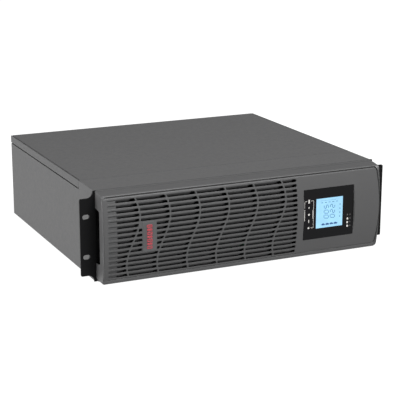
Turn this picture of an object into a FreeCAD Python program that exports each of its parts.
import FreeCAD, Part
import math
import os

# Rack-mounted uninterruptible power supply, three rack units high.
# Millimetres.  +X is to the right seen from the front, +Y runs to the rear, +Z is up.
# The model is drawn with y = 0 at the edge of the front bezel, and moved at export so that
# the origin is the bottom centre of the bounding box.

# ---- driving dimensions: outside ----
BODY_W = 440.0            # sheet metal case, side to side
BODY_H = 130.0            # three rack units less clearance
BEZEL_D = 21.7            # bezel, from its front edge to the rack ears
EAR_FACE = 22.0           # front face of the rack ears
EAR_T = 2.0
BODY_FRONT = EAR_FACE + EAR_T
BODY_REAR = 408.0         # outside face of the rear panel
REAR_MOST = 416.0         # tip of the earth stud
BULGE = 8.0               # how far the bowed front stands ahead of the bezel's edge
BADGE_PROUD = 1.0         # how far the badge's raised bar stands ahead of the bowed front
SHEET = 1.2

# ---- rack ears ----
RACK_W = 482.6
RACK_HOLE_X = 465.1       # spacing across the rack
RACK_HOLE_Z = 57.15       # spacing up the rack
RACK_HOLE_MID = 65.6
SLOT_L = 10.0
SLOT_H = 7.0
TAB_Z0, TAB_Z1 = 10.0, 120.0
EAR_LEG = 17.0            # length of the leg that lies along the side of the case
EAR_LEG_Z = (16.0, 104.0)
EAR_FLARE = 9.0           # the hollow corners where the tab widens into the neck
EAR_SCREW_Y = 9.0         # behind the front of the case
EAR_SCREW_Z = (28.0, 60.0, 92.0)

# ---- top cover ----
COVER_FRONT = 85.5        # where the removable cover starts, behind the fixed front strip
COVER_LIP = 12.0
COVER_SHELF = 12.0        # width of the shelf that the cover's edges stand over
STRIP_STEP = 8.0          # how far the strip's step reaches under the cover, and behind its own edge
GAP = 0.6                 # seam between the cover and the rest
FOLD_H = 12.0             # height of the base tray's folded ends
BEND_R = 0.9              # outside radius of a fold in the sheet

# ---- inner front wall ----
VENT_COLS, VENT_ROWS = 11, 7
VENT_X0, VENT_Z0 = -190.0, 22.0
VENT_PITCH_X, VENT_PITCH_Z = 25.0, 14.0
VENT_W, VENT_H = 18.0, 6.0
LEAD_HOLE_W, LEAD_HOLE_H = 44.0, 40.0
BULKHEAD_Y = 30.0

# ---- bezel and louvred panel ----
BEZEL_HALF = 219.0
PANEL_HALF = 215.4
PANEL_Z0, PANEL_Z1 = 7.2, 123.6
PANEL_BACK = 5.0
PANEL_SKIN = 2.5
PANEL_GROOVE = 1.2        # open groove between the bezel and the panel
LOUVRE_ROWS = 16
LOUVRE_PITCH = 7.06
LOUVRE_Z = 8.3            # middle of the lowest bar
BAR_H = 2.6
BAR_D = 1.8
SLAT_DROP = 3.7
GRILLE_X0, GRILLE_X1 = -198.0, 80.0
GROOVE_X0 = -210.0        # the louvres run on to here as shallow grooves
RIB_COUNT = 6
RIB_PITCH = 45.1
RIB_X = 51.4              # middle of the right-hand rib
RIB_SWING = 10.0
RIB_PERIOD = 136.0
RIB_NODE_Z = 62.0         # height where a rib crosses its own middle
RIB_W = 2.0
BADGE_X, BADGE_W = -151.3, 20.0
BADGE_ROWS = (5, 11)
STUD_R = 3.1              # ball studs that the bezel clips on to
STUD_PLAY = 0.3
STUD_X, STUD_Z = (-206.0, 206.0), (18.0, 112.0)
SOCKET_R = 5.5
CHEEK_SET_BACK = 0.3      # how far the bezel's side walls stand behind the bowed panel
CHEEK_BACK = 3.0
CHEEK_R = 1.2
LIP_HALF, LIP_T = 217.0, 2.4
BEZEL_INNER_Z = (3.2, 125.2)
GRIP_Y0, GRIP_Y1 = 6.5, 20.0
GRIP_Z0, GRIP_Z1 = 27.5, 105.0
GRIP_SLANT = 1.0
GRIP_R = 2.5
GRIP_DEPTH = 8.0

# ---- display ----
WINDOW_X, WINDOW_Z = 133.0, 65.0
WINDOW_W, WINDOW_H = 84.0, 75.0
WINDOW_FRONT = -5.0
WINDOW_T = 2.0
LCD_X, LCD_W = 134.4, 44.4
LCD_T = 3.0
LCD_FRAME = 3.0           # border of the module round the lit square
BACKLIGHT_T = 4.0
DISPLAY_BACK = 15.0
HOUSING_WALL = 2.0
LAMPS_LEFT_X, LAMPS_RIGHT_X = 100.6, 166.0
LAMPS_LEFT, LAMPS_LEFT_Z, LAMPS_LEFT_PITCH = 5, 85.0, 10.0
LAMPS_RIGHT, LAMPS_RIGHT_Z, LAMPS_RIGHT_PITCH = 3, 52.0, 5.8

# ---- battery compartment ----
BATTERY_W, BATTERY_L, BATTERY_H = 65.0, 151.0, 94.0
BATTERY_COLS, BATTERY_ROWS = 3, 2
BATTERY_X0 = -214.0
BATTERY_Y0 = 44.0
BATTERY_GAP = 1.0
BATTERY_LID = 6.0
TERMINAL_INSET, TERMINAL_L, TERMINAL_W, TERMINAL_T = 14.0, 6.3, 6.3, 0.8
TRAY_T = 1.5
TRAY_WALL_ENDS, TRAY_WALL_SIDES = 40.0, 30.0
CLAMP_W, CLAMP_H = 24.0, 10.0
LINK_W, LINK_T = 5.3, 3.2
PLUG_X, PLUG_Y, PLUG_W, PLUG_L, PLUG_H = -40.0, 372.0, 32.0, 16.0, 16.0
DIVIDER_X = -10.0
DIVIDER_END = 380.0
DIVIDER_FOOT = 8.0

# ---- electronics ----
BOARD_X0, BOARD_X1 = 2.0, 210.0
BOARD_Y0, BOARD_Y1 = 60.0, 345.0
BOARD_Z = 9.2
BOARD_T = 1.6
BOARD_TOP = BOARD_Z + BOARD_T
POST_R, POST_STUD_R, POST_INSET = 3.0, 1.5, 6.0
HEATSINK_X = {"pfc": 64.0, "inverter": 150.0}
HEATSINK_Y0, HEATSINK_Y1 = 84.0, 228.0
HEATSINK_H, SPINE_T = 78.0, 5.0
FINS, FIN_PITCH, FIN_T, FIN_REACH = 10, 8.0, 2.0, 19.0
TRANSISTORS, TRANSISTOR_PITCH = 6, 22.0
TRANSISTOR_W, TRANSISTOR_H, TRANSISTOR_T, LEG_H, LEG_PITCH = 16.0, 21.0, 5.0, 14.0, 5.4
CAN_X, CAN_Y, CAN_PITCH, CANS = 22.0, 100.0, 37.0, 4
CAN_R, CAN_H = 16.0, 46.0
FILM_X, FILM_Y = 100.0, (70.0, 92.0, 288.0)
FILM_W, FILM_L, FILM_H = 32.0, 18.0, 30.0
CORE_X, CORE_Y, CORE_W, CORE_L, CORE_H, CORE_BAR = 96.0, 122.0, 44.0, 56.0, 48.0, 9.0
CHOKE_AT = ((118.0, 206.0), (118.0, 254.0), (28.0, 274.0))
CHOKE_R, CHOKE_WIRE_R = 14.0, 8.0
RELAY_X, RELAY_Y = 182.0, (230.0, 262.0, 294.0)
RELAY_W, RELAY_L, RELAY_H = 16.0, 27.0, 22.0
CONTROL_X, CONTROL_Y0, CONTROL_Y1, CONTROL_H = 186.0, 96.0, 216.0, 84.0
COMM_X0, COMM_X1, COMM_Z0, COMM_Z1, COMM_BACK = -212.0, -178.0, 50.0, 116.0, 13.0

# ---- fans ----
FAN = 80.0
FAN_T = 25.0
FAN_X = (82.0, 168.0)
FAN_Z = 64.0
FAN_BORE = 38.0
FAN_BLADES = 7
HUB_R = 17.0
SHAFT_R = 1.5
SHAFT_PLAY = 0.05
GUARD_RINGS = (10.0, 19.0, 28.0, 37.0)
GUARD_WIRE = 0.9
EYELET_R = 3.1
FAN_HOLE = 35.75          # screw holes from the middle of a fan, both ways
FAN_SCREW_R = 1.9
FAN_SCREW_L = 8.0         # how far the screws reach into the fan
FAN_CUP = 3.0             # depth of the fixed cup and arms behind the rotor
FAN_ARM_W = 3.6
BOSS_R, BOSS_L = 4.0, 11.0
BLADE_LEAN, BLADE_T = 7.0, 1.6
BLADE_GAP = 1.2

# ---- rear connections ----
OUTLET_MID, OUTLET_PITCH, OUTLETS = -33.0, 35.0, 4
OUTLET_Z = (103.0, 73.0)
OUTLET_BANK_H = 28.0
OUTLET_WELL_W, OUTLET_WELL_H = 30.6, 22.4
OUTLET_CORE_W, OUTLET_CORE_H = 24.2, 16.2
INLET_X, INLET_Z = -150.0, 98.0
BREAKER_X, BREAKER_Z = -150.0, 58.0
BREAKER_NECK_R, BREAKER_BUTTON_R, BREAKER_PLAY = 7.4, 4.05, 0.05
SERIAL_X, SERIAL_Z = -194.0, 108.0
USB_X, USB_Z = -194.0, 84.0
EPO_X, EPO_Z = -194.0, 62.0
BATTERY_SOCKET_X, BATTERY_SOCKET_Z = -182.0, 28.0
SLOT_COVER_X, SLOT_COVER_Z = -33.0, 33.0
SLOT_COVER_W, SLOT_COVER_H = 120.0, 44.0
EARTH_X, EARTH_Z = -126.0, 24.0
STUD_THREAD_R = 2.5
PANEL_SCREW_X, PANEL_SCREW_Z = (-210.0, -70.0, 70.0, 210.0), 6.0
COVER_SCREW_X, COVER_SCREW_RISE = (-200.0, -100.0, 0.0, 100.0, 200.0), 5.5
REAR_SCREW_R, REAR_SCREW_H = 2.8, 2.0
# each rectangular hole in the rear panel: middle across, middle up, width, height
REAR_HOLES = (
    (OUTLET_MID, OUTLET_Z[0], OUTLET_PITCH * OUTLETS - 4, OUTLET_BANK_H - 3),
    (OUTLET_MID, OUTLET_Z[1], OUTLET_PITCH * OUTLETS - 4, OUTLET_BANK_H - 3),
    (INLET_X, INLET_Z, 35.4, 27.4),
    (SERIAL_X, SERIAL_Z, 19.0, 10.4),
    (USB_X, USB_Z, 12.4, 11.4),
    (EPO_X, EPO_Z, 15.6, 8.8),
    (BATTERY_SOCKET_X, BATTERY_SOCKET_Z, 38.0, 18.0),
    (SLOT_COVER_X, SLOT_COVER_Z, 104.0, 34.0),
)

TOP = BODY_H
HALF_W = BODY_W / 2
INNER_HALF = HALF_W - SHEET
REAR_IN = BODY_REAR - SHEET
ROOF_IN = TOP - SHEET
LIP_Z = TOP - COVER_LIP
ORIGIN_SHIFT = -(REAR_MOST - BULGE - BADGE_PROUD) / 2
X_AXIS = FreeCAD.Vector(1, 0, 0)
Y_AXIS = FreeCAD.Vector(0, 1, 0)
Z_AXIS = FreeCAD.Vector(0, 0, 1)
FRONT_OF_ALL = -BULGE - 4
PANEL_MID = (PANEL_Z0 + PANEL_Z1) / 2
PANEL_RISE = (PANEL_Z1 - PANEL_Z0) / 2
BOW_R = (PANEL_RISE ** 2 + BULGE ** 2) / (2 * BULGE)
BOW_CENTRE_Y = BOW_R - BULGE
SEAT_W, SEAT_H = WINDOW_W / 2 + 0.2, WINDOW_H / 2 + 0.2
WINDOW_BACK = WINDOW_FRONT + WINDOW_T


# ---- plain shapes ----
def vec(x, y, z):
    return FreeCAD.Vector(x, y, z)


def block(x0, x1, y0, y1, z0, z1):
    return Part.makeBox(x1 - x0, y1 - y0, z1 - z0, vec(x0, y0, z0))


def rod(x, y, z, radius, length, axis=Y_AXIS):
    return Part.makeCylinder(radius, length, vec(x, y, z), axis)


def tube(x, y, z, outer, inner, length, axis=Y_AXIS):
    start = vec(x, y, z) - axis
    hole = Part.makeCylinder(inner, length + 2, start, axis)
    return rod(x, y, z, outer, length, axis).cut(hole)


def prism_x(points, x0, x1):
    corners = [vec(x0, y, z) for y, z in points]
    face = Part.Face(Part.makePolygon(corners + corners[:1]))
    return face.extrude(vec(x1 - x0, 0, 0))


def prism_y(points, y0, y1):
    corners = [vec(x, y0, z) for x, z in points]
    face = Part.Face(Part.makePolygon(corners + corners[:1]))
    return face.extrude(vec(0, y1 - y0, 0))


def edges_along(solid, axis):
    found = []
    for edge in solid.Edges:
        if len(edge.Vertexes) == 2:
            run = edge.Vertexes[1].Point - edge.Vertexes[0].Point
            if run.cross(axis).Length < 1e-6:
                found.append(edge)
    return found


def rounded(x0, x1, y0, y1, z0, z1, radius, axis=Y_AXIS):
    solid = block(x0, x1, y0, y1, z0, z1)
    return solid.makeFillet(radius, edges_along(solid, axis))


def oblong(x, z, length, height, y0, y1):
    """A slot cutter with round ends, its long axis along X, cutting along Y."""
    return rounded(x - length / 2, x + length / 2, y0, y1,
                   z - height / 2, z + height / 2, height / 2 - 0.001)


def joined(solids):
    return solids[0].multiFuse(solids[1:]).removeSplitter() if len(solids) > 1 else solids[0]


def mirrored(solid):
    return solid.mirror(vec(0, 0, 0), X_AXIS)


def pan_screw(x, y, z, axis=Y_AXIS, head=3.0, height=2.2):
    """A pan head with a cross recess, seated at (x, y, z) and standing along the axis."""
    seat = vec(x, y, z)
    tip = rod(x, y, z, head, height, axis)
    rim = [e for e in tip.Edges if abs((e.CenterOfMass - seat).dot(axis) - height) < 1e-6]
    tip = tip.makeFillet(0.8, rim)
    floor = seat + axis * (height - 0.9)
    upward = Z_AXIS if abs(axis.z) < 0.5 else Y_AXIS
    for run in (upward, axis.cross(upward)):
        side = axis.cross(run) * 0.8
        corner = floor - run * head * 0.55 - side / 2
        far = corner + run * head * 1.1
        slot = Part.Face(Part.makePolygon([corner, far, far + side, corner + side, corner]))
        tip = tip.cut(slot.extrude(axis * 2))
    return tip


def save(name, solids):
    """Write one node, moved to the exported origin."""
    solids = solids if isinstance(solids, list) else [solids]
    pieces = []
    for solid in solids:
        pieces += solid.Solids
    for piece in pieces:
        if not piece.isValid() or piece.Volume <= 0:
            print("BAD", name, piece.Volume)
    shape = pieces[0] if len(pieces) == 1 else Part.makeCompound(pieces)
    shape.translate(vec(0, ORIGIN_SHIFT, 0))
    shape.exportStep("parts/" + name + ".step")
    box = shape.BoundBox
    print("%-22s %3d  x %7.1f %7.1f  y %7.1f %7.1f  z %6.1f %6.1f" % (
        name, len(pieces), box.XMin, box.XMax, box.YMin, box.YMax, box.ZMin, box.ZMax))


# ---- case ----
def base_tray():
    floor = block(-HALF_W, HALF_W, BODY_FRONT, BODY_REAR, 0, SHEET)
    front_y = BULKHEAD_Y + SHEET
    front_fold = block(-INNER_HALF, INNER_HALF, front_y, front_y + SHEET, SHEET, FOLD_H)
    rear_fold = block(-INNER_HALF, INNER_HALF, REAR_IN - SHEET, REAR_IN, SHEET, FOLD_H)
    return joined([floor, front_fold, rear_fold])


def side_panel():
    """Left side: low behind, full height ahead of the cover, with an inward shelf for the cover."""
    low = block(-HALF_W, -INNER_HALF, BODY_FRONT, BODY_REAR, SHEET, LIP_Z - GAP)
    high = block(-HALF_W, -INNER_HALF, BODY_FRONT, COVER_FRONT - GAP, SHEET, ROOF_IN)
    shelf = block(-INNER_HALF, -INNER_HALF + COVER_SHELF, COVER_FRONT - GAP, REAR_IN - SHEET,
                  LIP_Z - GAP - SHEET, LIP_Z - GAP)
    return joined([low, high, shelf])


def bend_top(solid):
    """Round the two long upper edges where the sheet is folded down."""
    return solid.makeFillet(BEND_R, [e for e in edges_along(solid, Y_AXIS)
                                     if e.CenterOfMass.z > TOP - 0.1])


def front_strip():
    """The fixed strip of roof between the bezel and the removable cover."""
    roof = bend_top(block(-HALF_W, HALF_W, BODY_FRONT, COVER_FRONT - GAP, ROOF_IN, TOP))
    step = block(-INNER_HALF, INNER_HALF, COVER_FRONT - STRIP_STEP, COVER_FRONT + STRIP_STEP,
                 ROOF_IN - SHEET, ROOF_IN)
    return joined([roof, step])


def top_cover():
    back_y = BODY_REAR + SHEET
    roof = block(-HALF_W, HALF_W, COVER_FRONT, back_y, ROOF_IN, TOP)
    left = block(-HALF_W, -INNER_HALF, COVER_FRONT, back_y, LIP_Z, ROOF_IN)
    back = block(-INNER_HALF, INNER_HALF, BODY_REAR, back_y, LIP_Z, ROOF_IN)
    return bend_top(joined([roof, left, mirrored(left), back]))


def front_bulkhead():
    """The inner metal front: vent slots ahead of the batteries and a hole for the display's lead."""
    plate = block(-INNER_HALF, INNER_HALF, BULKHEAD_Y, BULKHEAD_Y + SHEET, SHEET, ROOF_IN)
    y0, y1 = BULKHEAD_Y - 1, BULKHEAD_Y + SHEET + 1
    cutters = [rounded(WINDOW_X - LEAD_HOLE_W / 2, WINDOW_X + LEAD_HOLE_W / 2, y0, y1,
                       WINDOW_Z - LEAD_HOLE_H / 2, WINDOW_Z + LEAD_HOLE_H / 2, 4)]
    for column in range(VENT_COLS):
        for row in range(VENT_ROWS):
            x = VENT_X0 + column * VENT_PITCH_X
            z = VENT_Z0 + row * VENT_PITCH_Z
            cutters.append(oblong(x, z, VENT_W, VENT_H, y0, y1))
    return plate.cut(Part.makeCompound(cutters))


def rear_panel():
    plate = block(-INNER_HALF, INNER_HALF, REAR_IN, BODY_REAR, SHEET, ROOF_IN)
    y0, y1 = REAR_IN - 1, BODY_REAR + 1
    deep = y1 - y0
    cutters = [block(x - w / 2, x + w / 2, y0, y1, z - h / 2, z + h / 2) for x, z, w, h in REAR_HOLES]
    for x in FAN_X:
        cutters.append(rod(x, y0, FAN_Z, FAN_BORE, deep))
        cutters += [rod(cx, y0, cz, FAN_SCREW_R + 0.2, deep) for cx, cz in fan_corners(x)]
    cutters.append(rod(BREAKER_X, y0, BREAKER_Z, BREAKER_NECK_R + 0.2, deep))
    cutters.append(rod(EARTH_X, y0, EARTH_Z, STUD_THREAD_R + 0.1, deep))
    return plate.cut(Part.makeCompound(cutters))


def battery_divider():
    """The wall between the batteries and the boards, with a window for the battery lead."""
    start = BULKHEAD_Y + 2 * SHEET
    wall = block(DIVIDER_X - SHEET, DIVIDER_X, start, DIVIDER_END, SHEET, LIP_Z - 8)
    foot = block(DIVIDER_X, DIVIDER_X + DIVIDER_FOOT, start, DIVIDER_END, SHEET, 2 * SHEET)
    window = rounded(DIVIDER_X - SHEET - 1, DIVIDER_X + 1, 356, 374, 70, 100, 4, X_AXIS)
    return joined([wall, foot]).cut(window)


# ---- rack ears ----
def left_ear():
    """A flat tab with two rack slots, a neck up the front of the case and a leg along its side."""
    outside = -HALF_W - EAR_T
    tab = block(-RACK_W / 2, -HALF_W, EAR_FACE, BODY_FRONT, TAB_Z0, TAB_Z1)
    tab = tab.makeFillet(2.0, [e for e in edges_along(tab, Y_AXIS) if e.CenterOfMass.x < outside])
    neck = block(outside, -HALF_W + 2, EAR_FACE, BODY_FRONT, 0.4, TOP)
    gussets = []
    for z, way in ((TAB_Z1, 1), (TAB_Z0, -1)):
        tip = z + way * EAR_FLARE
        web = prism_y([(outside, z), (outside - EAR_FLARE, z), (outside, tip)], EAR_FACE, BODY_FRONT)
        gussets.append(web.cut(rod(outside - EAR_FLARE, EAR_FACE - 1, tip, EAR_FLARE, EAR_T + 2)))
    leg = block(outside, -HALF_W, BODY_FRONT, BODY_FRONT + EAR_LEG, *EAR_LEG_Z)
    ear = joined([tab, neck, leg] + gussets)
    holes = [oblong(-RACK_HOLE_X / 2, RACK_HOLE_MID + way * RACK_HOLE_Z / 2, SLOT_L, SLOT_H,
                    EAR_FACE - 1, BODY_FRONT + 1) for way in (-1, 1)]
    return ear.cut(Part.makeCompound(holes))


def ear_screws():
    screws = []
    for z in EAR_SCREW_Z:
        screw = pan_screw(-HALF_W - EAR_T, BODY_FRONT + EAR_SCREW_Y, z, vec(-1, 0, 0), 3.4, 1.6)
        screws += [screw, mirrored(screw)]
    return screws


# ---- bezel ----
def bow_y(z, offset=0.0):
    """Where the bowed face stands at a height, or a face set back from it by offset."""
    return BOW_CENTRE_Y - math.sqrt((BOW_R - offset) ** 2 - (z - PANEL_MID) ** 2)


def bowed(offset, back):
    """The bowed front as a solid bar across the width, its face set back by offset."""
    low, high = PANEL_Z0 - 3, PANEL_Z1 + 3
    start = vec(-BEZEL_HALF, bow_y(low, offset), low)
    middle = vec(-BEZEL_HALF, bow_y(PANEL_MID, offset), PANEL_MID)
    end = vec(-BEZEL_HALF, bow_y(high, offset), high)
    rear_low = vec(-BEZEL_HALF, back, low)
    rear_high = vec(-BEZEL_HALF, back, high)
    edges = [Part.Arc(start, middle, end).toShape(), Part.makeLine(end, rear_high),
             Part.makeLine(rear_high, rear_low), Part.makeLine(rear_low, start)]
    return Part.Face(Part.Wire(edges)).extrude(vec(2 * BEZEL_HALF, 0, 0))


def bezel_frame():
    """The bezel's outer frame, with the seat for the louvred panel and the sockets for the studs."""
    profile = [(BEZEL_D, 0.5), (3.5, 0.5), (0.6, 2.6), (0, 5.4), (0, 123.9), (1.2, 125.8),
               (4, 126.9), (BEZEL_D, TOP - 0.3)]
    ring = prism_x(profile, -BEZEL_HALF, BEZEL_HALF)
    ring = ring.common(rounded(-BEZEL_HALF, BEZEL_HALF, -1, BEZEL_D + 1, 0.5, TOP + 6, 5.5))
    shoulders = [e for e in ring.Edges if abs(abs(e.CenterOfMass.x) - BEZEL_HALF) < 0.01
                 and e.CenterOfMass.z > 126 and e.Length > 10]
    ring = ring.makeFillet(2.0, shoulders)
    opening = panel_outline(-PANEL_GROOVE, -2, 7, 5)
    hollow = block(-PANEL_HALF - 0.6, PANEL_HALF + 0.6, 6.9, BEZEL_D + 1, *BEZEL_INNER_Z)
    seat = panel_outline(-1.5, PANEL_BACK, PANEL_BACK + 2.5, 4)
    seat = seat.cut(block(-PANEL_HALF + 5, PANEL_HALF - 5, 0, 12, PANEL_Z0 + 1.6, PANEL_Z1 - 1.6))
    ring = joined([ring.cut(opening).cut(hollow), seat] + bezel_cheeks() + bezel_lips())
    grip = grip_cutter()
    ring = ring.cut(grip).cut(mirrored(grip))
    return joined([ring] + bezel_sockets())


def bezel_cheeks():
    """The side walls run forward in step with the bowed panel between them."""
    bow = bowed(CHEEK_SET_BACK, CHEEK_BACK)
    inside = PANEL_HALF + PANEL_GROOVE
    cheek = bow.common(block(-BEZEL_HALF, -inside, -20, CHEEK_BACK, PANEL_Z0, PANEL_Z1))
    front = [e for e in cheek.Edges if e.CenterOfMass.x < -BEZEL_HALF + 0.01 and e.CenterOfMass.y < 0]
    cheek = cheek.makeFillet(CHEEK_R, front)
    return [cheek, mirrored(cheek)]


def bezel_lips():
    """Lips above and below that close the gap to the case between the ears."""
    start, end = BEZEL_D - 3, BODY_FRONT - 0.3
    low, high = 0.5, TOP - 0.3
    return [block(-LIP_HALF, LIP_HALF, start, end, low, low + LIP_T),
            block(-LIP_HALF, LIP_HALF, start, end, high - LIP_T, high)]


def grip_cutter():
    """Finger notch in the left wall of the bezel, open to the rear, with slanted ends."""
    end = GRIP_Y1 + 4
    points = [(end, GRIP_Z0 - GRIP_SLANT), (GRIP_Y1, GRIP_Z0 - GRIP_SLANT),
              (GRIP_Y0, GRIP_Z0 + GRIP_SLANT), (GRIP_Y0, GRIP_Z1 - GRIP_SLANT),
              (GRIP_Y1, GRIP_Z1 + GRIP_SLANT), (end, GRIP_Z1 + GRIP_SLANT)]
    grip = prism_x(points, -BEZEL_HALF - 2, -BEZEL_HALF + GRIP_DEPTH)
    front = [e for e in edges_along(grip, X_AXIS) if abs(e.CenterOfMass.y - GRIP_Y0) < 0.01]
    return grip.makeFillet(GRIP_R, front)


def panel_outline(inset, y0, y1, radius):
    return rounded(-PANEL_HALF + inset, PANEL_HALF - inset, y0, y1,
                   PANEL_Z0 + inset, PANEL_Z1 - inset, radius)


def bar_height(row):
    return LOUVRE_Z + LOUVRE_PITCH * row


def louvre(row):
    """One louvre: an upright front bar with a slat sloping down behind it."""
    z = bar_height(row)
    y = bow_y(z)
    half = BAR_H / 2
    points = [(FRONT_OF_ALL, z + half), (FRONT_OF_ALL, z - half), (y, z - half),
              (y + SLAT_DROP, z - half - SLAT_DROP), (y + SLAT_DROP + 1, z - half - SLAT_DROP + 0.6),
              (y + BAR_D, z - 0.6), (y + BAR_D, z + half)]
    return prism_x(points, GROOVE_X0 - 0.4, GRILLE_X1 + 0.4)


def rib(number):
    """One upright rib of the grille, drawn as a lazy S."""
    middle = RIB_X - RIB_PITCH * number
    steps = 16
    low, high = bar_height(0) - 0.5, bar_height(LOUVRE_ROWS) + 0.5
    left, right = [], []
    for step in range(steps + 1):
        z = low + (high - low) * step / steps
        x = middle + RIB_SWING * math.sin(2 * math.pi * (z - RIB_NODE_Z) / RIB_PERIOD)
        left.append(vec(x - RIB_W / 2, FRONT_OF_ALL, z))
        right.append(vec(x + RIB_W / 2, FRONT_OF_ALL, z))
    sides = []
    for points in (left, right):
        curve = Part.BSplineCurve()
        curve.interpolate(points)
        sides.append(curve.toShape())
    wire = Part.Wire([sides[0], Part.makeLine(left[-1], right[-1]),
                      sides[1], Part.makeLine(right[0], left[0])])
    return Part.Face(wire).extrude(vec(0, -FRONT_OF_ALL + 0.5, 0))


def louvre_panel():
    """The bowed front moulding: skin, rim, louvres, ribs and the recess for the display."""
    skin = bowed(0, PANEL_BACK).common(panel_outline(0, -20, 20, 4))
    hollow = bowed(PANEL_SKIN, PANEL_BACK + 5).common(panel_outline(PANEL_SKIN, -20, 20, 2))
    low = bar_height(0) + BAR_H / 2
    high = bar_height(LOUVRE_ROWS) - BAR_H / 2
    skin = skin.cut(hollow).cut(block(GROOVE_X0, GRILLE_X1, -20, 20, low, high))
    skin = skin.cut(around_window(0, -20, 20))
    bars = [louvre(row) for row in range(1, LOUVRE_ROWS + 1)]
    ribs = [rib(number) for number in range(RIB_COUNT)]
    lattice = joined(bars + ribs).common(bowed(0, 2))
    backing = bowed(PANEL_SKIN - 0.9, 4).cut(bowed(PANEL_SKIN + 0.6, 6))
    backing = backing.common(block(GROOVE_X0 - 0.4, GRILLE_X0, -20, 20, low - 0.4, high + 0.4))
    ledge = around_window(2, WINDOW_BACK, WINDOW_BACK + 2).cut(around_window(-4, -20, 20))
    wall = around_window(2, -20, WINDOW_BACK + 2).cut(around_window(0, -20, 20))
    wall = wall.common(bowed(0.8, PANEL_BACK))
    panel = skin.fuse([lattice, backing, ledge, wall]).removeSplitter()
    return panel.cut(badge_body(0.1, 8))


def around_window(grow, y0, y1):
    """A block on the window's outline, larger by grow all round."""
    return block(WINDOW_X - SEAT_W - grow, WINDOW_X + SEAT_W + grow, y0, y1,
                 WINDOW_Z - SEAT_H - grow, WINDOW_Z + SEAT_H + grow)


def badge_body(grow, back):
    x0, x1 = BADGE_X - BADGE_W / 2 - grow, BADGE_X + BADGE_W / 2 + grow
    z0, z1 = bar_height(BADGE_ROWS[0]) - grow, bar_height(BADGE_ROWS[1]) + grow
    return block(x0, x1, -20, back, z0, z1)


def badge_plate():
    """A curved plate set flush in the louvres, carrying a plain raised bar."""
    plate = bowed(-0.5, 3).cut(bowed(2.0, 5)).common(badge_body(0, 8))
    z0, z1 = bar_height(BADGE_ROWS[0]), bar_height(BADGE_ROWS[1])
    raised = bowed(-BADGE_PROUD, 3).cut(bowed(-0.5, 5))
    raised = raised.common(block(BADGE_X - 3.8, BADGE_X + 3.8, -20, 8, z0 + 4, z1 - 4))
    return joined([plate, raised])


def bezel_ball_studs():
    """Four ball studs on the bulkhead that the bezel clips on to."""
    studs = []
    for x in STUD_X:
        for z in STUD_Z:
            stem = rod(x, BODY_FRONT - 1, z, 2.2, BULKHEAD_Y - BODY_FRONT + 1)
            ball = Part.makeSphere(STUD_R, vec(x, BODY_FRONT - 2, z))
            studs.append(joined([stem, ball]))
    return studs


def bezel_sockets():
    """Four sockets moulded behind the bezel that grip the ball studs."""
    start = PANEL_BACK + 2.5
    cups = []
    for x in STUD_X:
        for z in STUD_Z:
            cup = tube(x, start, z, SOCKET_R, STUD_R + STUD_PLAY, BEZEL_D - start)
            floor = rod(x, start, z, SOCKET_R, 2)
            cups.append(joined([cup, floor]))
    return cups


# ---- display ----
def display_window():
    return block(WINDOW_X - WINDOW_W / 2, WINDOW_X + WINDOW_W / 2, WINDOW_FRONT, WINDOW_BACK,
                 WINDOW_Z - WINDOW_H / 2, WINDOW_Z + WINDOW_H / 2)


def lcd_layer(y, thick):
    half = LCD_W / 2 + LCD_FRAME
    return block(LCD_X - half, LCD_X + half, y, y + thick, WINDOW_Z - half, WINDOW_Z + half)


def lcd_module():
    return lcd_layer(WINDOW_BACK, LCD_T)


def lcd_backlight():
    return lcd_layer(WINDOW_BACK + LCD_T, BACKLIGHT_T)


def display_board():
    """The board behind the display, with the socket for its lead."""
    y = WINDOW_BACK + LCD_T + BACKLIGHT_T
    back = y + BOARD_T
    board = block(WINDOW_X - 37, WINDOW_X + 37, y, back, WINDOW_Z - 33, WINDOW_Z + 33)
    socket = block(WINDOW_X - 10, WINDOW_X + 10, back, back + 4.4, WINDOW_Z - 4, WINDOW_Z + 4)
    return [board, socket]


def status_lamps():
    """Light pipes from the board to the back of the window, one behind each mark."""
    length = LCD_T + BACKLIGHT_T
    pipes = [rod(LAMPS_LEFT_X, WINDOW_BACK, LAMPS_LEFT_Z - LAMPS_LEFT_PITCH * n, 1.4, length)
             for n in range(LAMPS_LEFT)]
    pipes += [rod(LAMPS_RIGHT_X, WINDOW_BACK, LAMPS_RIGHT_Z - LAMPS_RIGHT_PITCH * n, 1.1, length)
              for n in range(LAMPS_RIGHT)]
    return pipes


def display_housing():
    """The rear cover of the display, a shallow tray over the board."""
    half_w, half_h = WINDOW_W / 2, WINDOW_H / 2
    in_w, in_h = half_w - HOUSING_WALL, half_h - HOUSING_WALL
    floor = DISPLAY_BACK - HOUSING_WALL
    shell = block(WINDOW_X - half_w, WINDOW_X + half_w, WINDOW_BACK + 2, DISPLAY_BACK,
                  WINDOW_Z - half_h, WINDOW_Z + half_h)
    inside = block(WINDOW_X - in_w, WINDOW_X + in_w, WINDOW_BACK, floor,
                   WINDOW_Z - in_h, WINDOW_Z + in_h)
    hole = block(WINDOW_X - 14, WINDOW_X + 14, floor - 1, DISPLAY_BACK + 1, WINDOW_Z - 7, WINDOW_Z + 7)
    return shell.cut(inside).cut(hole)


# ---- batteries ----
def battery_places():
    for row in range(BATTERY_ROWS):
        for column in range(BATTERY_COLS):
            yield (BATTERY_X0 + column * (BATTERY_W + BATTERY_GAP),
                   BATTERY_Y0 + row * (BATTERY_L + BATTERY_GAP))


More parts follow.
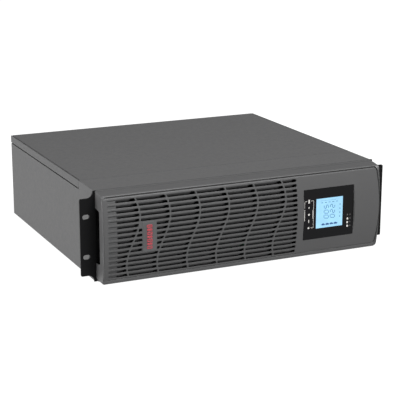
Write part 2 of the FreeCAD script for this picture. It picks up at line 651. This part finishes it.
def battery(x, y):
    """A sealed lead-acid battery with a lid rim and two spade terminals."""
    z = SHEET + TRAY_T
    shoulder = z + BATTERY_H - BATTERY_LID
    top = z + BATTERY_H
    case = rounded(x, x + BATTERY_W, y, y + BATTERY_L, z, shoulder, 2.0, Z_AXIS)
    lid = rounded(x + 1, x + BATTERY_W - 1, y + 1, y + BATTERY_L - 1, shoulder, top, 2.0, Z_AXIS)
    solids = [joined([case, lid])]
    for middle in (x + TERMINAL_INSET, x + BATTERY_W - TERMINAL_INSET):
        solids.append(block(middle - TERMINAL_T / 2, middle + TERMINAL_T / 2,
                            y + 8, y + 8 + TERMINAL_W, top, top + TERMINAL_L))
    return solids


def battery_tray():
    x0 = BATTERY_X0 - 0.5
    x1 = BATTERY_X0 + BATTERY_COLS * (BATTERY_W + BATTERY_GAP)
    y0 = BATTERY_Y0 - 0.5
    y1 = BATTERY_Y0 + BATTERY_ROWS * (BATTERY_L + BATTERY_GAP)
    left, right, front, back = x0 - TRAY_T, x1 + TRAY_T, y0 - TRAY_T, y1 + TRAY_T
    floor = block(left, right, front, back, SHEET, SHEET + TRAY_T)
    walls = [block(left, right, front, y0, SHEET, TRAY_WALL_ENDS),
             block(left, right, y1, back, SHEET, TRAY_WALL_ENDS),
             block(left, x0, y0, y1, SHEET, TRAY_WALL_SIDES),
             block(x1, right, y0, y1, SHEET, TRAY_WALL_SIDES)]
    return joined([floor] + walls)


def battery_clamps():
    """Two folded bars across the lids that hold the batteries down."""
    x0 = BATTERY_X0 - 1
    x1 = BATTERY_X0 + BATTERY_COLS * (BATTERY_W + BATTERY_GAP)
    z = SHEET + TRAY_T + BATTERY_H
    half = CLAMP_W / 2
    bars = []
    for row in range(BATTERY_ROWS):
        y = BATTERY_Y0 + row * (BATTERY_L + BATTERY_GAP) + BATTERY_L / 2
        flat = block(x0, x1, y - half, y + half, z, z + TRAY_T)
        rise = block(x0, x1, y + half - TRAY_T, y + half, z + TRAY_T, z + CLAMP_H)
        bars.append(joined([flat, rise]))
    return bars


def battery_links():
    """Insulated straps that chain the batteries, terminal to terminal."""
    z = SHEET + TRAY_T + BATTERY_H + 1
    inset = TERMINAL_INSET - TERMINAL_T / 2
    links = []
    for row in range(BATTERY_ROWS):
        y = BATTERY_Y0 + row * (BATTERY_L + BATTERY_GAP) + 8.5
        for column in range(BATTERY_COLS - 1):
            gap_x = BATTERY_X0 + column * (BATTERY_W + BATTERY_GAP) + BATTERY_W
            links.append(rounded(gap_x - inset, gap_x + BATTERY_GAP + inset,
                                 y, y + LINK_W, z, z + LINK_T, 1.2, Z_AXIS))
    return links


def battery_plug():
    """The keyed connector pair that joins the battery chain to the power board."""
    halves = []
    for start in (PLUG_Y - PLUG_L, PLUG_Y + 0.1):
        halves.append(rounded(PLUG_X - PLUG_W / 2, PLUG_X + PLUG_W / 2, start, start + PLUG_L,
                              SHEET, SHEET + PLUG_H, 1.5))
    return halves


# ---- electronics ----
def power_board():
    board = block(BOARD_X0, BOARD_X1, BOARD_Y0, BOARD_Y1, BOARD_Z, BOARD_TOP)
    holes = [rod(x, y, BOARD_Z - 1, POST_STUD_R + 0.1, BOARD_T + 2, Z_AXIS) for x, y in board_posts_at()]
    return board.cut(Part.makeCompound(holes))


def board_posts_at():
    for x in (BOARD_X0 + POST_INSET, (BOARD_X0 + BOARD_X1) / 2, BOARD_X1 - POST_INSET):
        for y in (BOARD_Y0 + POST_INSET, BOARD_Y1 - POST_INSET):
            yield x, y


def board_posts():
    posts = []
    for x, y in board_posts_at():
        post = rod(x, y, SHEET, POST_R, BOARD_Z - SHEET, Z_AXIS)
        stud = rod(x, y, BOARD_Z, POST_STUD_R, BOARD_T + 1.4, Z_AXIS)
        posts.append(joined([post, stud]))
    return posts


def heatsink(x):
    """An extruded heatsink standing on the board: a spine with fins to the right."""
    y0, y1 = HEATSINK_Y0, HEATSINK_Y1
    root = x + SPINE_T
    spine = block(x, root, y0, y1, BOARD_TOP, BOARD_TOP + HEATSINK_H)
    fins = []
    for n in range(FINS):
        z = BOARD_TOP + FIN_PITCH / 2 + FIN_PITCH * n
        fins.append(block(root, root + FIN_REACH, y0, y1, z, z + FIN_T))
    return joined([spine] + fins)


def power_transistors():
    """Flat packages clipped to the left faces of both heatsinks."""
    low = BOARD_TOP + LEG_H
    packs = []
    for x in HEATSINK_X.values():
        for n in range(TRANSISTORS):
            y = HEATSINK_Y0 + 12 + n * TRANSISTOR_PITCH
            body = block(x - TRANSISTOR_T, x, y - TRANSISTOR_W / 2, y + TRANSISTOR_W / 2,
                         low, low + TRANSISTOR_H)
            legs = [block(x - 3, x - 2, y + LEG_PITCH * k - 0.6, y + LEG_PITCH * k + 0.6, BOARD_TOP, low)
                    for k in (-1, 0, 1)]
            packs.append(joined([body] + legs))
    return packs


def bulk_capacitors():
    cans = []
    for n in range(CANS):
        can = rod(CAN_X, CAN_Y + n * CAN_PITCH, BOARD_TOP, CAN_R, CAN_H, Z_AXIS)
        rim = [e for e in can.Edges if abs(e.CenterOfMass.z - BOARD_TOP - CAN_H) < 1e-6]
        cans.append(can.makeFillet(1.6, rim))
    return cans


def filter_capacitors():
    return [rounded(FILM_X, FILM_X + FILM_W, y, y + FILM_L, BOARD_TOP, BOARD_TOP + FILM_H, 1.5, Z_AXIS)
            for y in FILM_Y]


def transformer_core():
    """A ferrite core: a closed frame with a middle leg."""
    x, y = CORE_X, CORE_Y
    low, high = BOARD_TOP + CORE_BAR, BOARD_TOP + CORE_H - CORE_BAR
    core = block(x, x + CORE_W, y, y + CORE_L, BOARD_TOP, BOARD_TOP + CORE_H)
    core = core.cut(block(x - 1, x + CORE_W + 1, y + CORE_BAR, y + CORE_L - CORE_BAR, low, high))
    return joined([core, middle_leg(low, high)])


def middle_leg(low, high):
    x, y = CORE_X + CORE_W / 2, CORE_Y + CORE_L / 2
    return block(x - 10, x + 10, y - 10, y + 10, low, high)


def transformer_coil():
    """The winding round the core's middle leg."""
    x0, x1 = CORE_X + 4, CORE_X + CORE_W - 4
    y0, y1 = CORE_Y + CORE_BAR + 0.5, CORE_Y + CORE_L - CORE_BAR - 0.5
    low, high = BOARD_TOP + CORE_BAR + 1, BOARD_TOP + CORE_H - CORE_BAR - 1
    coil = rounded(x0, x1, y0, y1, low, high, 6, Z_AXIS)
    return coil.cut(middle_leg(low - 1, high + 1))


def chokes():
    """Wound toroid inductors lying flat on the board."""
    return [Part.makeTorus(CHOKE_R, CHOKE_WIRE_R, vec(x, y, BOARD_TOP + CHOKE_WIRE_R), Z_AXIS)
            for x, y in CHOKE_AT]


def relays():
    return [rounded(RELAY_X, RELAY_X + RELAY_W, y, y + RELAY_L, BOARD_TOP, BOARD_TOP + RELAY_H, 1, Z_AXIS)
            for y in RELAY_Y]


def control_board():
    """The upright logic board near the right wall, with its processor and a connector."""
    x = CONTROL_X
    board = block(x, x + BOARD_T, CONTROL_Y0, CONTROL_Y1, BOARD_TOP, BOARD_TOP + CONTROL_H)
    chip = block(x - 1.5, x, CONTROL_Y0 + 44, CONTROL_Y0 + 58, BOARD_TOP + 40, BOARD_TOP + 54)
    header = block(x - 8, x, CONTROL_Y1 - 36, CONTROL_Y1 - 16, BOARD_TOP + 64, BOARD_TOP + 72)
    return [board, chip, header]


def comm_board():
    """The small board that carries the signal connectors of the rear panel."""
    y = BODY_REAR - COMM_BACK
    return block(COMM_X0, COMM_X1, y - BOARD_T, y, COMM_Z0, COMM_Z1)


# ---- fans ----
def fan_frame(x):
    """Square fan frame with a fixed cup on four arms behind the rotor, and a boss for its shaft."""
    y1 = REAR_IN
    y0 = y1 - FAN_T
    half = FAN / 2
    body = rounded(x - half, x + half, y0, y1, FAN_Z - half, FAN_Z + half, 3)
    frame = body.cut(rod(x, y0 - 1, FAN_Z, FAN_BORE, FAN_T + 2))
    waist = rounded(x - half - 1, x + half + 1, y0 + 4, y1 - 4, FAN_Z - half - 1, FAN_Z + half + 1, 3)
    waist = waist.cut(rod(x, y0 - 2, FAN_Z, FAN_BORE + 1.6, FAN_T + 4))
    posts = [rod(cx, y0 - 2, cz, 6, FAN_T + 4) for cx, cz in fan_corners(x)]
    frame = frame.cut(waist.cut(Part.makeCompound(posts)))
    cup_y = y1 - FAN_CUP
    cup = rod(x, cup_y, FAN_Z, HUB_R, FAN_CUP)
    boss = rod(x, cup_y - BOSS_L, FAN_Z, BOSS_R, BOSS_L)
    arms = []
    for turn in range(4):
        arm = block(x - FAN_ARM_W / 2, x + FAN_ARM_W / 2, cup_y, y1, FAN_Z + 10, FAN_Z + FAN_BORE + 1)
        arm.rotate(vec(x, y1, FAN_Z), Y_AXIS, 90 * turn + 20)
        arms.append(arm)
    frame = joined([frame, cup, boss] + arms)
    holes = [rod(cx, y0 - 1, cz, FAN_SCREW_R + 0.2, FAN_T + 2) for cx, cz in fan_corners(x)]
    shaft = rod(x, cup_y - BOSS_L - 1, FAN_Z, SHAFT_R + SHAFT_PLAY, BOSS_L + 2.5)
    return frame.cut(Part.makeCompound(holes + [shaft]))


def fan_rotor(x):
    """Hub, blades and steel shaft; the cup turns around the motor boss."""
    front = REAR_IN - FAN_T + 1.5
    back = REAR_IN - FAN_CUP - 1
    cup = tube(x, front, FAN_Z, HUB_R, HUB_R - 2, back - front)
    lid = rod(x, front, FAN_Z, HUB_R, 2)
    root = blade_edge(x, front + 2, back - 1, HUB_R - 1)
    tip = blade_edge(x, front + 1, back - 0.5, FAN_BORE - BLADE_GAP)
    blades = []
    for n in range(FAN_BLADES):
        blade = Part.makeLoft([root, tip], True, True)
        blade.rotate(vec(x, front, FAN_Z), Y_AXIS, n * 360.0 / FAN_BLADES)
        blades.append(blade)
    shaft = rod(x, front, FAN_Z, SHAFT_R, REAR_IN - FAN_CUP - front)
    return joined([cup, lid, shaft] + blades)


def blade_edge(x, y0, y1, radius):
    """A thin slanted section of a fan blade at a distance from the shaft."""
    z = FAN_Z + radius
    left, right = x - BLADE_LEAN, x + BLADE_LEAN
    corners = [vec(left, y0, z), vec(left + BLADE_T, y0, z), vec(right, y1, z), vec(right - BLADE_T, y1, z)]
    return Part.makePolygon(corners + corners[:1])


def fan_corners(x):
    for i in (-1, 1):
        for k in (-1, 1):
            yield x + i * FAN_HOLE, FAN_Z + k * FAN_HOLE


def fan_guards():
    """Wire finger guards: rings welded to two crossed wires that end in eyelets."""
    y = BODY_REAR + GUARD_WIRE
    reach = FAN_HOLE * math.sqrt(2) - EYELET_R
    guards = []
    for x in FAN_X:
        wires = []
        for turn in (45, 135):
            wire = rod(x - reach, y, FAN_Z, GUARD_WIRE, 2 * reach, X_AXIS)
            wire.rotate(vec(x, y, FAN_Z), Y_AXIS, turn)
            wires.append(wire)
        eyelets = [Part.makeTorus(EYELET_R, GUARD_WIRE, vec(cx, y, cz), Y_AXIS)
                   for cx, cz in fan_corners(x)]
        rings = [Part.makeTorus(radius, GUARD_WIRE, vec(x, y + 1.2, FAN_Z), Y_AXIS)
                 for radius in GUARD_RINGS]
        guards.append(joined(wires + eyelets + rings))
    return guards


# ---- rear connections ----
def outlet_bank(z):
    """A strip of four appliance outlets, each a keyed well around a slotted core."""
    y = BODY_REAR
    half_w, half_h = OUTLET_PITCH * OUTLETS / 2, OUTLET_BANK_H / 2
    face = rounded(OUTLET_MID - half_w, OUTLET_MID + half_w, y, y + 3, z - half_h, z + half_h, 2)
    body = block(OUTLET_MID - half_w + 2.2, OUTLET_MID + half_w - 2.2, y - 24, y,
                 z - half_h + 1.7, z + half_h - 1.7)
    strip = joined([face, body])
    cutters = []
    for n in range(OUTLETS):
        x = OUTLET_MID + (n - (OUTLETS - 1) / 2) * OUTLET_PITCH
        well = keyed(x, z, OUTLET_WELL_W, OUTLET_WELL_H, y - 17, y + 4)
        cutters.append(well.cut(keyed(x, z, OUTLET_CORE_W, OUTLET_CORE_H, y - 18, y + 2.5)))
        cutters += [block(x + k - 1.2, x + k + 1.2, y - 17, y + 4, z - 3.4 + up, z + 3.4 + up)
                    for k, up in ((-7, -1.5), (7, -1.5), (0, 2.5))]
    return strip.cut(Part.makeCompound(cutters))


def keyed(x, z, width, height, y0, y1):
    """The six-sided outline of an appliance coupler, its two upper corners cut off."""
    key = height * 0.28
    points = [(x - width / 2, z - height / 2), (x + width / 2, z - height / 2),
              (x + width / 2, z + height / 2 - key), (x + width / 2 - key, z + height / 2),
              (x - width / 2 + key, z + height / 2), (x - width / 2, z + height / 2 - key)]
    return prism_y(points, y0, y1)


def power_inlet():
    """The mains inlet: flange, rectangular well and three flat pins."""
    y = BODY_REAR
    flange = rounded(INLET_X - 27, INLET_X + 27, y, y + 3, INLET_Z - 16, INLET_Z + 16, 4)
    body = block(INLET_X - 17.5, INLET_X + 17.5, y - 24, y, INLET_Z - 13.5, INLET_Z + 13.5)
    well = rounded(INLET_X - 15.2, INLET_X + 15.2, y - 19, y + 4, INLET_Z - 11.2, INLET_Z + 11.2, 2)
    shell = joined([flange, body]).cut(well)
    pins = [block(INLET_X + k - 4, INLET_X + k + 4, y - 19.5, y - 3, INLET_Z + up - 1, INLET_Z + up + 1)
            for k, up in ((-7.5, -3.5), (7.5, -3.5), (0, 3.5))]
    return joined([shell] + pins)


def breaker_body():
    """A push-to-reset thermal breaker: case behind the panel, threaded neck and nut outside."""
    y = BODY_REAR
    case = block(BREAKER_X - 8, BREAKER_X + 8, y - 30, y - SHEET, BREAKER_Z - 17, BREAKER_Z + 17)
    neck = rod(BREAKER_X, y - SHEET - 0.5, BREAKER_Z, BREAKER_NECK_R, 6.7)
    nut = rod(BREAKER_X, y, BREAKER_Z, 10.5, 2.5)
    hole = rod(BREAKER_X, y - 12, BREAKER_Z, BREAKER_BUTTON_R + BREAKER_PLAY, 24)
    return joined([case, neck, nut]).cut(hole)


def breaker_button():
    y = BODY_REAR
    button = rod(BREAKER_X, y - 11.5, BREAKER_Z, BREAKER_BUTTON_R, 17.5)
    tip = [e for e in button.Edges if e.CenterOfMass.y > y + 5.9]
    return button.makeFillet(0.8, tip)


def serial_port():
    """A nine-way D connector with its shell and two hexagonal jack posts."""
    y = BODY_REAR
    wide, low, tall = 8.6, 7.6, 4.4
    outline = [(SERIAL_X - low, SERIAL_Z - tall), (SERIAL_X + low, SERIAL_Z - tall),
               (SERIAL_X + wide, SERIAL_Z + tall), (SERIAL_X - wide, SERIAL_Z + tall)]
    inner = [(SERIAL_X + (x - SERIAL_X) * 0.93, SERIAL_Z + (z - SERIAL_Z) * 0.87) for x, z in outline]
    shell = prism_y(outline, y - 13, y + 5).cut(prism_y(inner, y - 3, y + 6))
    pins = [rod(SERIAL_X - 5.5 + 2.75 * n, y - 4, SERIAL_Z + 1.5, 0.5, 6) for n in range(5)]
    pins += [rod(SERIAL_X - 4.1 + 2.75 * n, y - 4, SERIAL_Z - 1.5, 0.5, 6) for n in range(4)]
    flange = block(SERIAL_X - 15.4, SERIAL_X + 15.4, y, y + 0.8, SERIAL_Z - 6.2, SERIAL_Z + 6.2)
    flange = flange.cut(prism_y(inner, y - 3, y + 6))
    posts = [rod(SERIAL_X + 12.5 * k, y + 0.8, SERIAL_Z, 2.4, 4) for k in (-1, 1)]
    return joined([shell, flange] + pins + posts)


def usb_port():
    y = BODY_REAR
    shell = rounded(USB_X - 6, USB_X + 6, y - 13, y + 1.2, USB_Z - 5.5, USB_Z + 5.5, 0.8)
    well = block(USB_X - 4.3, USB_X + 4.3, y - 8, y + 2, USB_Z - 4, USB_Z + 4)
    tongue = block(USB_X - 2.8, USB_X + 2.8, y - 8.5, y - 0.5, USB_Z - 1.6, USB_Z + 1.6)
    return joined([shell.cut(well), tongue])


def epo_terminal():
    """A two-way plug-in terminal for the emergency power-off contact."""
    y = BODY_REAR
    body = block(EPO_X - 7.6, EPO_X + 7.6, y - 13, y + 4, EPO_Z - 4.2, EPO_Z + 4.2)
    holes = [block(EPO_X + k - 1.9, EPO_X + k + 1.9, y - 2, y + 5, EPO_Z - 2.4, EPO_Z + 1.4)
             for k in (-3.8, 3.8)]
    return body.cut(Part.makeCompound(holes))


def battery_socket():
    """The two-pole connector for an outside battery cabinet."""
    y = BODY_REAR
    flange = rounded(BATTERY_SOCKET_X - 28, BATTERY_SOCKET_X + 28, y, y + 2,
                     BATTERY_SOCKET_Z - 12.5, BATTERY_SOCKET_Z + 12.5, 2)
    body = block(BATTERY_SOCKET_X - 18.6, BATTERY_SOCKET_X + 18.6, y - 26, y + 5,
                 BATTERY_SOCKET_Z - 8.6, BATTERY_SOCKET_Z + 8.6)
    wells = [rounded(BATTERY_SOCKET_X + k - 7, BATTERY_SOCKET_X + k + 7, y - 14, y + 6,
                     BATTERY_SOCKET_Z - 6.4, BATTERY_SOCKET_Z + 6.4, 1.5) for k in (-9.2, 9.2)]
    return joined([flange, body]).cut(Part.makeCompound(wells))


def slot_cover():
    """The blank plate over the bay for an option card."""
    y = BODY_REAR
    half_w, half_h = SLOT_COVER_W / 2, SLOT_COVER_H / 2
    return rounded(SLOT_COVER_X - half_w, SLOT_COVER_X + half_w, y, y + SHEET,
                   SLOT_COVER_Z - half_h, SLOT_COVER_Z + half_h, 1.5)


def earth_stud():
    """The earth stud with its nut and washer."""
    y = BODY_REAR
    stud = rod(EARTH_X, y - 6, EARTH_Z, STUD_THREAD_R, REAR_MOST - y + 6)
    washer = rod(EARTH_X, y, EARTH_Z, 5.5, 1)
    corners = [(EARTH_X + 4.6 * math.cos(math.radians(60 * n)),
                EARTH_Z + 4.6 * math.sin(math.radians(60 * n))) for n in range(6)]
    nut = prism_y(corners, y + 1, y + 5)
    return joined([stud, washer, nut])


def rear_screws():
    """Screws in the rear face: panel edge, option card cover, inlet and battery socket."""
    def at(x, y, z):
        return pan_screw(x, y, z, head=REAR_SCREW_R, height=REAR_SCREW_H)

    y = BODY_REAR
    screws = [at(x, y, PANEL_SCREW_Z) for x in PANEL_SCREW_X]
    for way in (-1, 1):
        screws.append(at(SLOT_COVER_X + way * (SLOT_COVER_W / 2 - 4), y + SHEET, SLOT_COVER_Z))
        screws.append(at(INLET_X + way * 22, y + 3, INLET_Z))
        screws.append(at(BATTERY_SOCKET_X + way * 23.3, y + 2, BATTERY_SOCKET_Z))
    return screws


def guard_screws():
    """Screws that clamp the wire guards and the fans to the rear panel."""
    head = BODY_REAR + 2 * GUARD_WIRE
    start = REAR_IN - FAN_SCREW_L
    screws = []
    for x in FAN_X:
        for cx, cz in fan_corners(x):
            shank = rod(cx, start, cz, FAN_SCREW_R, head - start)
            screws.append(joined([pan_screw(cx, head, cz, head=3.6), shank]))
    return screws


def cover_screws():
    """Screws through the rear lip of the top cover."""
    y, z = BODY_REAR + SHEET, LIP_Z + COVER_SCREW_RISE
    return [pan_screw(x, y, z, head=REAR_SCREW_R, height=REAR_SCREW_H) for x in COVER_SCREW_X]


def main():
    os.makedirs("parts", exist_ok=True)
    save("base_tray", base_tray())
    save("left_side_panel", side_panel())
    save("right_side_panel", mirrored(side_panel()))
    save("front_roof_strip", front_strip())
    save("top_cover", top_cover())
    save("front_bulkhead", front_bulkhead())
    save("rear_panel", rear_panel())
    save("battery_divider", battery_divider())
    save("left_rack_ear", left_ear())
    save("right_rack_ear", mirrored(left_ear()))
    save("rack_ear_screws", ear_screws())
    save("bezel_frame", bezel_frame())
    save("bezel_ball_studs", bezel_ball_studs())
    save("louvre_panel", louvre_panel())
    save("badge_plate", badge_plate())
    save("display_window", display_window())
    save("lcd_module", lcd_module())
    save("lcd_backlight", lcd_backlight())
    save("display_board", display_board())
    save("status_light_pipes", status_lamps())
    save("display_housing", display_housing())
    for number, (x, y) in enumerate(battery_places(), 1):
        save("battery_%d" % number, battery(x, y))
    save("battery_tray", battery_tray())
    save("battery_clamps", battery_clamps())
    save("battery_links", battery_links())
    save("battery_plug", battery_plug())
    save("power_board", power_board())
    save("board_posts", board_posts())
    for name, x in HEATSINK_X.items():
        save(name + "_heatsink", heatsink(x))
    save("power_transistors", power_transistors())
    save("bulk_capacitors", bulk_capacitors())
    save("filter_capacitors", filter_capacitors())
    save("transformer", [transformer_core(), transformer_coil()])
    save("chokes", chokes())
    save("relays", relays())
    save("control_board", control_board())
    save("comm_board", comm_board())
    for name, x in zip(("left", "right"), FAN_X):
        save(name + "_fan_frame", fan_frame(x))
        save(name + "_fan_rotor", fan_rotor(x))
    save("fan_guards", fan_guards())
    save("outlet_banks", [outlet_bank(z) for z in OUTLET_Z])
    save("power_inlet", power_inlet())
    save("breaker_body", breaker_body())
    save("breaker_button", breaker_button())
    save("serial_port", serial_port())
    save("usb_port", usb_port())
    save("epo_terminal", epo_terminal())
    save("battery_socket", battery_socket())
    save("option_slot_cover", slot_cover())
    save("earth_stud", earth_stud())
    save("rear_screws", rear_screws() + guard_screws())
    save("cover_screws", cover_screws())


main()
